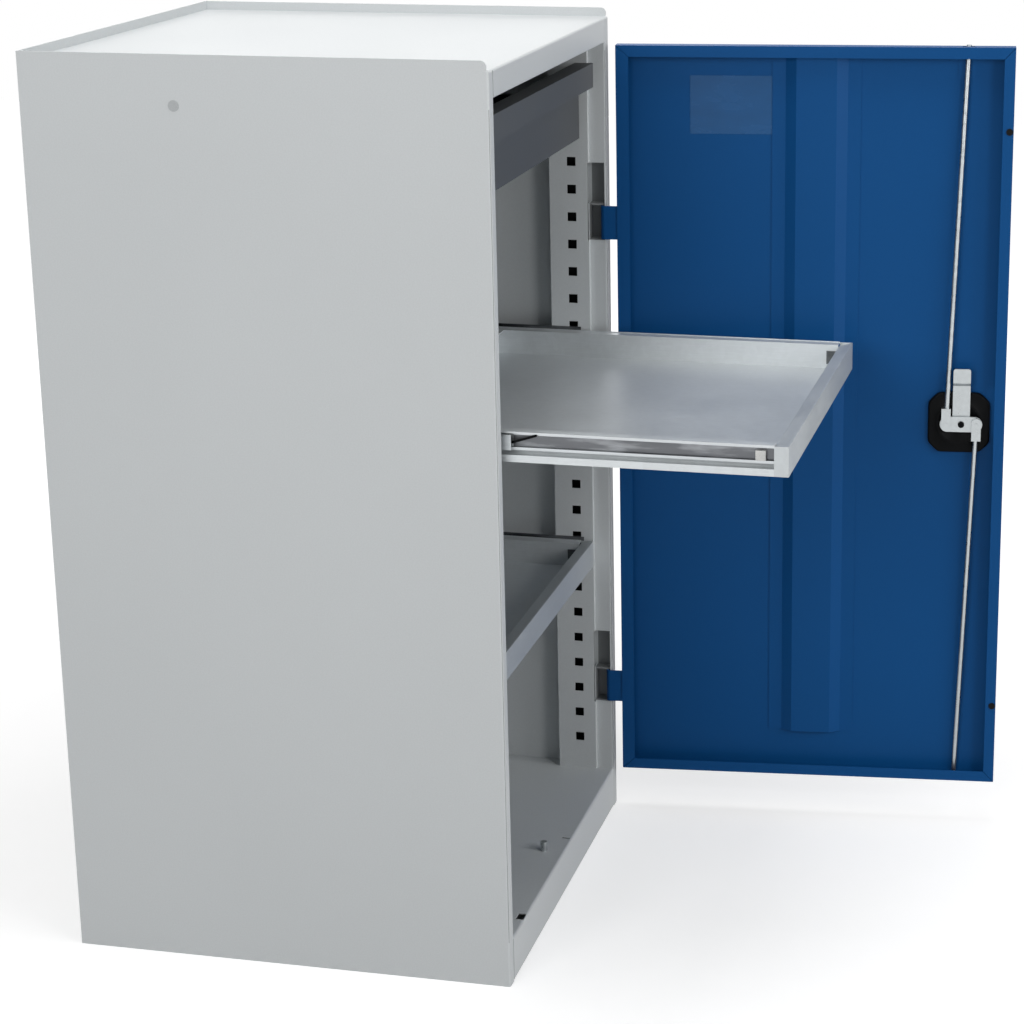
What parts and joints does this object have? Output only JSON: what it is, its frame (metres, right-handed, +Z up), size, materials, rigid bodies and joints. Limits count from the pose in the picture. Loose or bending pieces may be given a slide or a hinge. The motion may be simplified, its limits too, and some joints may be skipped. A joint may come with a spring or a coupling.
{
  "type": "tool cabinet",
  "caption": "Sheet-steel tool cabinet with a hinged door on a rod lock, a drawer and pull-out shelves on telescopic slides, shown open.",
  "frame": {"origin": "middle of the footprint, on the ground, under the cabinet's floor beam", "axes": "+Z up; -Y out of the front; +X towards the hinge side"},
  "size_m": [0.5733, 0.9715, 1],
  "materials": {
    "carcass_paint": "light grey powder coat, fine orange-peel texture",
    "door_paint": "blue powder coat, fine orange-peel texture",
    "drawer_paint": "anthracite powder coat",
    "galvanised": "galvanised sheet with faint spangle",
    "zinc": "bright zinc plate",
    "dark_steel": "dark oiled steel with brighter lips",
    "dark_grey_plastic": "moulded dark grey plastic",
    "black_plastic": "moulded black plastic",
    "white_plastic": "moulded white plastic",
    "grey_plastic": "moulded grey plastic",
    "clear_film": "thin clear film, left bare",
    "rubber": "black rubber",
    "chrome": "polished chrome"
  },
  "bodies": {
    "cabinet": {"left_side_panel": "carcass_paint", "right_side_panel": "carcass_paint", "back_panel_left": "carcass_paint", "back_panel_right": "carcass_paint", "top_panel": "carcass_paint", "floor_panel": "carcass_paint", "floor_beam": "carcass_paint", "floor_peg": "zinc", "upright_front_right": "carcass_paint", "upright_front_left": "carcass_paint", "upright_rear_right": "carcass_paint", "upright_rear_left": "carcass_paint", "side_hole_plugs": "grey_plastic", "hinge_brackets": "carcass_paint", "hinge_pins": "zinc", "drawer_cabinet_rails": "dark_steel", "upper_shelf_cabinet_rails": "dark_steel", "lower_shelf_cabinet_rails": "dark_steel"},
    "door": {"door_panel": "door_paint", "door_stiffener": "door_paint", "door_label": "clear_film", "door_buffers": "rubber", "rod_guide": "door_paint", "hinge_straps": "door_paint", "lock_housing": "black_plastic", "lock_screws": "zinc", "handle_rosette": "black_plastic"},
    "handle": {"lock_handle": "black_plastic", "lock_spindle": "zinc", "lock_cam": "zinc", "lock_tongue": "zinc", "cam_screw": "black_plastic"},
    "key": {"key_cylinder": "chrome"},
    "upper_rod": {"upper_rod": "zinc", "upper_rod_holder": "zinc"},
    "lower_rod": {"lower_rod": "zinc", "lower_rod_holder": "zinc"},
    "drawer": {"drawer_front": "drawer_paint", "drawer_tray": "drawer_paint", "drawer_tray_rails": "zinc", "drawer_rail_stops": "white_plastic"},
    "drawer_middle": {"drawer_middle_rails": "zinc", "drawer_release_levers": "black_plastic"},
    "upper_shelf": {"upper_shelf_tray": "galvanised", "upper_shelf_front": "galvanised", "upper_shelf_corner_clips": "dark_grey_plastic", "upper_shelf_tray_rails": "zinc", "upper_shelf_rail_stops": "white_plastic"},
    "upper_shelf_middle": {"upper_shelf_middle_rails": "zinc", "upper_shelf_release_levers": "black_plastic"},
    "lower_shelf": {"lower_shelf_tray": "galvanised", "lower_shelf_front": "galvanised", "lower_shelf_corner_clips": "dark_grey_plastic", "lower_shelf_tray_rails": "zinc", "lower_shelf_rail_stops": "white_plastic"},
    "lower_shelf_middle": {"lower_shelf_middle_rails": "zinc", "lower_shelf_release_levers": "black_plastic"}
  },
  "joints": [
    {"name": "door_swing", "type": "hinge", "parent": "cabinet", "child": "door", "pos_m": [0.245, -0.245, 0.5], "axis": [0, 0, 1], "range_deg": [-6, 8]},
    {"name": "handle_turn", "type": "hinge", "parent": "door", "child": "handle", "pos_m": [0.28956, -0.66897, 0.51], "axis": [0.9945, 0.1045, 0], "range_deg": [0, 90]},
    {"name": "key_turn", "type": "hinge", "parent": "handle", "child": "key", "pos_m": [0.28956, -0.66897, 0.51], "axis": [0.9945, 0.1045, 0], "range_deg": [0, 90]},
    {"name": "upper_rod_turn", "type": "hinge", "parent": "handle", "child": "upper_rod", "pos_m": [0.28768, -0.65106, 0.51], "axis": [0.9945, 0.1045, 0], "range_deg": [-93, 0]},
    {"name": "lower_rod_turn", "type": "hinge", "parent": "handle", "child": "lower_rod", "pos_m": [0.29144, -0.68687, 0.51], "axis": [0.9945, 0.1045, 0], "range_deg": [-93, 0]},
    {"name": "drawer_slide", "type": "slide", "parent": "cabinet", "child": "drawer", "axis": [0, -1, 0], "range_m": [0, 0.44]},
    {"name": "drawer_middle_slide", "type": "slide", "parent": "cabinet", "child": "drawer_middle", "axis": [0, -1, 0], "range_m": [0, 0.22]},
    {"name": "upper_shelf_slide", "type": "slide", "parent": "cabinet", "child": "upper_shelf", "axis": [0, -1, 0], "range_m": [-0.3165, 0.1235]},
    {"name": "upper_shelf_middle_slide", "type": "slide", "parent": "cabinet", "child": "upper_shelf_middle", "axis": [0, -1, 0], "range_m": [-0.15825, 0.06175]},
    {"name": "lower_shelf_slide", "type": "slide", "parent": "cabinet", "child": "lower_shelf", "axis": [0, -1, 0], "range_m": [0, 0.44]},
    {"name": "lower_shelf_middle_slide", "type": "slide", "parent": "cabinet", "child": "lower_shelf_middle", "axis": [0, -1, 0], "range_m": [0, 0.22]}
  ],
  "couplings": [
    {"joint": "upper_rod_turn", "follows": "handle_turn", "ratio": -1.0257},
    {"joint": "lower_rod_turn", "follows": "handle_turn", "ratio": -1.0257},
    {"joint": "drawer_middle_slide", "follows": "drawer_slide", "ratio": 0.5},
    {"joint": "upper_shelf_middle_slide", "follows": "upper_shelf_slide", "ratio": 0.5},
    {"joint": "lower_shelf_middle_slide", "follows": "lower_shelf_slide", "ratio": 0.5}
  ]
}
